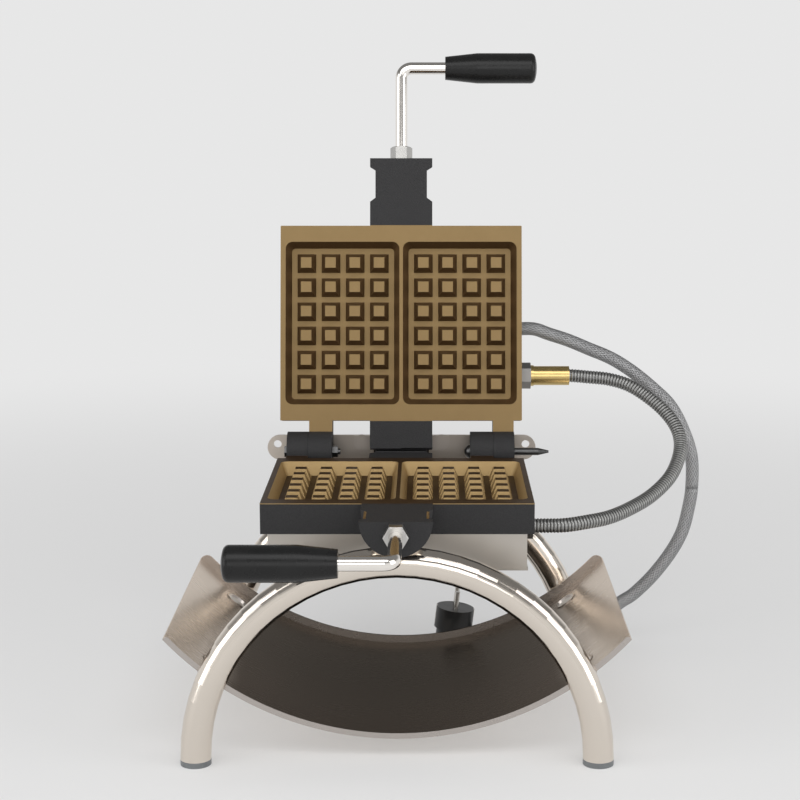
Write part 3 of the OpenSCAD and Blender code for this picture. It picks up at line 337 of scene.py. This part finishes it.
def tray_painted_shade(s, smear, darker, tone):
    """Painted shade and painted reflection: the inside below the plates goes dark, darkest towards the
    back, and faces turned to the front are darker; plain metal elsewhere.
    """
    x, y, _ = s.split(s.place())
    _, slope_y, slope_z = s.split(s.node("ShaderNodeTexCoord", output="Normal"))
    middle = 1 - abs(x + (smear - 0.5) * 0.02).smooth(0.140, 0.186)
    sheet_tone = s.mix(smear, darker, tone)
    # Painted shade: faces turned to the front are darker.
    sheet_tone = s.mix((-slope_y).smooth(0.6, 0.9), sheet_tone, (0.50, 0.46, 0.43))
    # Painted shade and painted reflection: dark inside below the plates, darker towards the back.
    painted_shade = s.mix((y - MIDDLE_Y).smooth(-0.12, 0.06), (0.040, 0.031, 0.026), (0.006, 0.005, 0.004))
    return s.mix(middle * slope_z.smooth(0.2, 0.5) * 0.97, sheet_tone, painted_shade)


def gloss_black(name, tone, rough, coat):
    """Moulded black plastic with a slight orange peel and dust in the sheen."""
    s = Shader(name)
    peel = s.noise(260, 2, 0.5)
    dust = s.noise(45, 5, 0.65)
    s.set(
        Base_Color=s.mix(dust, tone, tuple(c * 1.8 + 0.002 for c in tone)),
        Roughness=rough + dust.smooth(0.45, 0.8) * 0.12, Normal=s.bump(peel, 0.00004, 0.2),
        Specular_IOR_Level=0.25, Coat_Weight=coat, Coat_Roughness=0.05)
    return s.material


def plated(name, tone, rough, pits=500):
    """Plated small metal parts with a light grain and dull spots."""
    s = Shader(name)
    grain = s.noise(pits, 3, 0.6)
    dull = s.noise(90, 4, 0.6)
    s.set(
        Base_Color=s.mix(dull, tuple(c * 0.72 for c in tone), tone), Metallic=1.0,
        Roughness=rough + dull * 0.16, Normal=s.bump(grain, 0.00004, 0.3))
    return s.material


def matte(name, tone, other, rough, scale, depth):
    """Dull material with a speckle of two tones and a fine bump."""
    s = Shader(name)
    speckle = s.noise(scale, 4, 0.6)
    s.set(Base_Color=s.mix(speckle, tone, other), Roughness=rough + speckle * 0.15,
        Normal=s.bump(speckle, depth, 0.5))
    return s.material


def foot_plastic():
    """Milky grey plastic of the foot caps."""
    s = Shader("Milky grey plastic")
    cloud = s.noise(120, 3, 0.5)
    s.set(Base_Color=s.mix(cloud, (0.13, 0.14, 0.145), (0.20, 0.21, 0.215)),
        Roughness=0.30 + cloud * 0.15, Normal=s.bump(cloud, 0.00005, 0.2),
        Subsurface_Weight=0.25, Subsurface_Radius=(0.003, 0.003, 0.003))
    return s.material


def ribbed_metal():
    """Galvanised hose: wide bright crests, with painted shade darkening the thin grooves between them.
    """
    s = Shader("Galvanised hose metal")
    _, along, _ = s.split(s.node("ShaderNodeTexCoord", output="UV"))
    crest = (0.5 - 0.5 * s.maths("COSINE", along * (2 * math.pi))).smooth(0.02, 0.45)
    grime = s.noise(160, 4, 0.6)
    metal = s.mix(grime, (0.26, 0.26, 0.255), (0.37, 0.37, 0.36))
    # Painted shade: the grooves between the crests are near black.
    s.set(Base_Color=s.mix(crest, (0.060, 0.058, 0.056), metal), Metallic=0.85,
        Roughness=0.46 - crest * 0.14 + grime * 0.1, Normal=s.bump(grime, 0.00003, 0.3))
    return s.material


def braided_wire():
    """Steel braid of long strands laid at a low angle, over and under in turns."""
    s = Shader("Braided steel wire")
    around, along, _ = s.split(s.node("ShaderNodeTexCoord", output="UV"))
    turn = 2 * math.pi
    right = (around * STRANDS_AROUND + along * STRANDS_ALONG) * turn
    left = (around * STRANDS_AROUND - along * STRANDS_ALONG) * turn
    over = (right.sine() * left.sine()).smooth(-0.12, 0.12)
    wire_right = ((around * WIRES_AROUND + along * WIRES_ALONG) * turn).sine()
    wire_left = ((around * WIRES_AROUND - along * WIRES_ALONG) * turn).sine()
    wires = wire_right * over + wire_left * (1 - over)
    strand = abs(right.sine()) * over + abs(left.sine()) * (1 - over)
    height = strand * 0.6 + wires * 0.25
    grime = s.noise(110, 4, 0.6)
    metal = s.mix(grime, (0.34, 0.34, 0.345), (0.56, 0.56, 0.565))
    # Painted shade: the low places between strands and wires are dark.
    s.set(Base_Color=s.mix(height.smooth(0.0, 0.55), (0.09, 0.09, 0.09), metal), Metallic=0.8,
        Roughness=0.36 + grime * 0.12, Normal=s.bump(height, 0.0004, 0.8))
    return s.material


def smooth_line(points, steps):
    """Fine points of a smooth curve through the given points."""
    line = []
    last = len(points) - 1
    for i in range(last):
        a, b = points[max(i - 1, 0)], points[i]
        c, d = points[i + 1], points[min(i + 2, last)]
        for j in range(steps):
            t = j / steps
            line.append(0.5 * (2 * b + (c - a) * t + (2 * a - 5 * b + 4 * c - d) * t ** 2
                + (3 * b - a - 3 * c + d) * t ** 3))
    line.append(points[last])
    return line


def in_place(points):
    """Route points in metres, from the middle of the plates to the frame's origin."""
    return [Vector((x * MM, y * MM + MIDDLE_Y, z * MM)) for x, y, z in points]


def spaced(line, step):
    """Points at one even distance along a line, with the line's direction at each."""
    sums = [0.0]
    for a, b in zip(line, line[1:]):
        sums.append(sums[-1] + (b - a).length)
    count = max(2, round(sums[-1] / step))
    places, ways, i = [], [], 0
    for k in range(count + 1):
        want = sums[-1] * k / count
        while i < len(line) - 2 and sums[i + 1] < want:
            i += 1
        part = (want - sums[i]) / (sums[i + 1] - sums[i])
        places.append(line[i].lerp(line[i + 1], min(max(part, 0), 1)))
    for k in range(count + 1):
        ways.append((places[min(k + 1, count)] - places[max(k - 1, 0)]).normalized())
    return places, ways, sums[-1]


def tube(name, places, ways, radii, sides, lengths, aside):
    """Closed mesh tube through places, with a UV map: around, and the given lengths along."""
    mesh = bmesh.new()
    layer = mesh.loops.layers.uv.new("UVMap")
    rings = []
    for place, way, radius in zip(places, ways, radii):
        across = way.cross(aside).normalized()
        third = way.cross(across)
        rings.append([
            mesh.verts.new(place + radius * (
                math.cos(2 * math.pi * j / sides) * across + math.sin(2 * math.pi * j / sides) * third))
            for j in range(sides)])
    for k in range(len(rings) - 1):
        for j in range(sides):
            i = (j + 1) % sides
            face = mesh.faces.new((rings[k][j], rings[k][i], rings[k + 1][i], rings[k + 1][j]))
            face.smooth = True
            corners = ((j, k), (j + 1, k), (j + 1, k + 1), (j, k + 1))
            for loop, (u, v) in zip(face.loops, corners):
                loop[layer].uv = (u / sides, lengths[v])
    mesh.faces.new(reversed(rings[0]))
    mesh.faces.new(rings[-1])
    mesh.normal_update()
    if mesh.calc_volume(signed=True) < 0:
        bmesh.ops.reverse_faces(mesh, faces=mesh.faces)
    data = bpy.data.meshes.new(name)
    mesh.to_mesh(data)
    mesh.free()
    piece = bpy.data.objects.new(name, data)
    bpy.context.scene.collection.objects.link(piece)
    return piece


def make_hose():
    """Ribbed hose between the two heater boxes."""
    route = in_place(HOSE_ROUTE)
    line = smooth_line(route, ROUTE_STEPS)
    places, ways, total = spaced(line, HOSE_RIB_PITCH / RINGS_PER_RIB)
    crest = HOSE_D / 2
    shoulder = crest - HOSE_RIB_DEPTH * HOSE_SHOULDER
    profile = [crest - HOSE_RIB_DEPTH, shoulder, crest, shoulder]
    radii = [profile[k % RINGS_PER_RIB] for k in range(len(places))]
    lengths = [k / RINGS_PER_RIB for k in range(len(places))]
    hose = tube(
        "ribbed_hose", places, ways, radii, HOSE_SIDES, lengths, Vector((0, 1, -1)).normalized())
    hose.data.materials.append(ribbed_metal())
    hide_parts("hose")
    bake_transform(hose)
    return hose


def make_cord():
    """Braided power cord in two stretches, upper and lower, meeting at one point of the route."""
    route = in_place(CORD_ROUTE)
    braid = braided_wire()
    line = smooth_line(route, ROUTE_STEPS)
    parts = (
        ("braided_cord_upper", line[:CORD_JOIN * ROUTE_STEPS + 1], "lid", "iron"),
        ("braided_cord_lower", line[CORD_JOIN * ROUTE_STEPS:], "iron", "stand"))
    for name, part, first, second in parts:
        places, ways, total = spaced(part, CORD_STEP)
        radii = [CORD_D / 2] * len(places)
        round_once = math.pi * CORD_D
        lengths = [total * k / (len(places) - 1) / round_once for k in range(len(places))]
        piece = tube(name, places, ways, radii, CORD_SIDES, lengths, Vector((0, 1, 0)))
        piece.data.materials.append(braid)
        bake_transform(piece)
    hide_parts("power_cord")
    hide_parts("power_cord")


def make_pads():
    """Felt pads in the heater boxes: soft edges and a slightly uneven surface."""
    felt = matte("Mineral felt", (0.50, 0.46, 0.36), (0.72, 0.68, 0.56), 0.85, 500, 0.0006)
    for half, body in (("lower", "iron"), ("lid", "lid")):
        mesh = bmesh.new()
        mesh.from_mesh(NODES[half + "_insulation"].data)
        bmesh.ops.remove_doubles(mesh, verts=mesh.verts, dist=WELD)
        bmesh.ops.dissolve_limit(
            mesh, angle_limit=FLAT_ANGLE, verts=mesh.verts, edges=mesh.edges)
        data = bpy.data.meshes.new(half + "_felt_pad")
        mesh.to_mesh(data)
        mesh.free()
        pad = bpy.data.objects.new(half + "_felt_pad", data)
        bpy.context.scene.collection.objects.link(pad)
        edge = pad.modifiers.new("Soft edge", "BEVEL")
        edge.width = PAD_EDGE
        edge.segments = 3
        edge.limit_method = "ANGLE"
        pad.data.materials.append(felt)
        for polygon in data.polygons:
            polygon.use_smooth = True
        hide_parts(half + "_insulation")
        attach(pad, body)


def dress(material, *names):
    """Gives CAD nodes a finish."""
    for name in names:
        slots = NODES[name].data.materials
        slots.clear()
        slots.append(material)


def dress_frame():
    """Every node of the frame gets the finish of the real piece."""
    dress(cast_iron("Cast iron lower plate", False), "lower_plate")
    dress(cast_iron("Cast iron lid plate", True), "lid_plate")
    polished = steel("Polished tube", (0.80, 0.73, 0.65), 0.12, EVEN)
    dress(polished, "front_arch", "rear_arch", "front_saddle", "rear_saddle")
    dress(steel("Polished rod", (0.95, 0.91, 0.86), 0.12, EVEN),
        "lower_handle_rod", "lid_handle_rod")
    dress(steel("Dark steel", (0.11, 0.11, 0.11), 0.32, EVEN),
        "hinge_pin", "hinge_bolt", "hinge_nut")
    dress(steel("Satin sheet", (0.62, 0.56, 0.505), 0.42, BRUSHED, 0.04), "bar_pads")
    dress(steel("Satin bar", (0.60, 0.54, 0.48), 0.38, BRUSHED, 0.04), "stop_bar")
    dress(steel("Bright sheet", (0.55, 0.515, 0.47), 0.40, BRUSHED, 0.04),
        "lower_box", "lid_box")
    dress(steel(
        "Satin tray sheet", (0.97, 0.88, 0.79), 0.27, (0.3, 12, 1), 0.03, tray_painted_shade, (0.68, 0.64, 0.60)),
        "drip_tray")
    dress(steel("Satin bracket", (0.55, 0.52, 0.48), 0.34, (1, 6, 1)), "tray_brackets")
    zinc = plated("Zinc plated steel", (0.60, 0.59, 0.57), 0.24)
    dress(zinc, "tray_screws", "tray_rivet_nuts", "lower_handle_nut", "lid_handle_nut",
        "lower_hose_gland", "lower_clamps", "lid_clamps",
        "lower_clamp_screws", "lid_clamp_screws", "lower_box_screws", "lid_box_screws",
        "thermostat")
    dress(plated("Grey hose nut", (0.36, 0.345, 0.33), 0.38), "hose_nut")
    dress(plated("Polished brass", (0.74, 0.55, 0.23), 0.16, 300), "brass_sleeve",
        "lower_terminals", "lid_terminals")
    dress(plated("Nickel plate", (0.72, 0.70, 0.66), 0.20), "plug_pins", "plug_earth_clips")
    dress(gloss_black("Glossy black grip", (0.008, 0.008, 0.008), 0.26, 0.0),
        "lower_grip", "lid_grip")
    dress(gloss_black("Black plug plastic", (0.010, 0.010, 0.010), 0.36, 0.2), "plug_body")
    dress(gloss_black("Black gland plastic", (0.016, 0.016, 0.016), 0.42, 0.1), "cord_gland")
    dress(foot_plastic(), "foot_caps")
    dress(matte("Element sheath", (0.05, 0.045, 0.04), (0.10, 0.09, 0.08), 0.5, 300, 0.0001),
        "lower_element", "lid_element")
    dress(matte("Glazed ceramic", (0.66, 0.63, 0.56), (0.78, 0.75, 0.68), 0.18, 80, 0.00003),
        "lower_terminal_block", "lid_terminal_block")


def camera():
    """The photograph's view, fitted to the plates, the arches and the tray."""
    data = bpy.data.cameras.new("Photo camera")
    data.sensor_width = 36
    data.lens = CAMERA_LENS
    data.shift_x = CAMERA_SHIFT_X
    data.clip_end = 50
    made = bpy.data.objects.new("Photo camera", data)
    made.location = CAMERA_PLACE
    made.rotation_euler = (math.pi / 2 - CAMERA_DROP, 0, 0)
    bpy.context.scene.collection.objects.link(made)
    bpy.context.scene.camera = made


def seen_rays(tree):
    """1 for rays of the camera and for mirrored and transmitted rays, 0 for the light's."""
    rays = tree.nodes.new("ShaderNodeLightPath")
    total = rays.outputs["Is Camera Ray"]
    for name in ("Is Glossy Ray", "Is Transmission Ray"):
        add = tree.nodes.new("ShaderNodeMath")
        add.operation = "MAXIMUM"
        tree.links.new(total, add.inputs[0])
        tree.links.new(rays.outputs[name], add.inputs[1])
        total = add.outputs[0]
    return total


def floor():
    """Pale floor that keeps the shadow near the object and meets the background far off."""
    bpy.ops.object.select_all(action="DESELECT")
    bpy.ops.mesh.primitive_plane_add(size=FLOOR_SIZE, location=(0, 0, 0))
    ground = bpy.context.object
    ground.name = "floor"
    s = Shader("Pale floor")
    s.set(Base_Color=(*FLOOR_TONE, 1), Roughness=0.7, Specular_IOR_Level=0.2)
    x, y, _ = s.split(s.place())
    far = s.maths("SQRT", x * x + y * y).smooth(FLOOR_NEAR, FLOOR_FAR)
    glow = s.nodes.new("ShaderNodeEmission")
    glow.inputs["Color"].default_value = (*BACKGROUND, 1)
    glow.inputs["Strength"].default_value = 1
    seen = Value(s, seen_rays(s.material.node_tree))
    both = s.nodes.new("ShaderNodeMixShader")
    s.links.new((seen * (FLOOR_GLOW + far * (1 - FLOOR_GLOW))).socket, both.inputs[0])
    s.links.new(s.surface.outputs[0], both.inputs[1])
    s.links.new(glow.outputs[0], both.inputs[2])
    s.links.new(both.outputs[0], s.nodes["Material Output"].inputs["Surface"])
    ground.data.materials.append(s.material)


def soft_light(name, place, aim, width, height, power):
    """Rectangular lamp at a place, turned to what it lights."""
    data = bpy.data.lights.new(name, "AREA")
    data.shape = "RECTANGLE"
    data.size = width
    data.size_y = height
    data.energy = power
    lamp = bpy.data.objects.new(name, data)
    lamp.location = place
    lamp.rotation_euler = (Vector(aim) - Vector(place)).to_track_quat("-Z", "Y").to_euler()
    bpy.context.scene.collection.objects.link(lamp)


def world():
    """Pale background, dimmer overhead in mirrors, and an even grey in what lights the object."""
    made = bpy.data.worlds.new("Studio")
    made.use_nodes = True
    bpy.context.scene.world = made
    nodes, links = made.node_tree.nodes, made.node_tree.links
    shade = nodes["Background"]
    shade.inputs["Color"].default_value = (*WORLD_LIGHT, 1)
    shade.inputs["Strength"].default_value = 1
    way = nodes.new("ShaderNodeTexCoord")
    parts = nodes.new("ShaderNodeSeparateXYZ")
    links.new(way.outputs["Generated"], parts.inputs[0])
    rise = nodes.new("ShaderNodeMapRange")
    rise.interpolation_type = "SMOOTHSTEP"
    rise.inputs["From Min"].default_value = OVERHEAD_FROM
    rise.inputs["From Max"].default_value = OVERHEAD_FULL
    links.new(parts.outputs["Z"], rise.inputs["Value"])
    tones = nodes.new("ShaderNodeMix")
    tones.data_type = "RGBA"
    tones.inputs[6].default_value = (*BACKGROUND, 1)
    tones.inputs[7].default_value = (*OVERHEAD, 1)
    links.new(rise.outputs[0], tones.inputs[0])
    seen = nodes.new("ShaderNodeBackground")
    seen.inputs["Strength"].default_value = 1
    links.new(tones.outputs[2], seen.inputs["Color"])
    both = nodes.new("ShaderNodeMixShader")
    links.new(seen_rays(made.node_tree), both.inputs[0])
    links.new(shade.outputs[0], both.inputs[1])
    links.new(seen.outputs[0], both.inputs[2])
    links.new(both.outputs[0], nodes["World Output"].inputs["Surface"])


def lights():
    soft_light("Front and above", (0, -1.3, 1.9), (0, 0, 0.25), 2.6, 1.0, 19)
    soft_light("Left", (-2.1, -0.9, 0.9), (0, 0, 0.25), 1.3, 1.8, 15)
    soft_light("Right", (2.1, -0.9, 0.9), (0, 0, 0.25), 1.3, 1.8, 15)
    soft_light("Front", (0.2, -3.4, 1.1), (0, 0, 0.3), 1.8, 1.4, 13)


camera()
floor()
world()
lights()
bpy.context.scene.view_settings.view_transform = "Standard"
dress_frame()
make_hose()
make_cord()
make_pads()
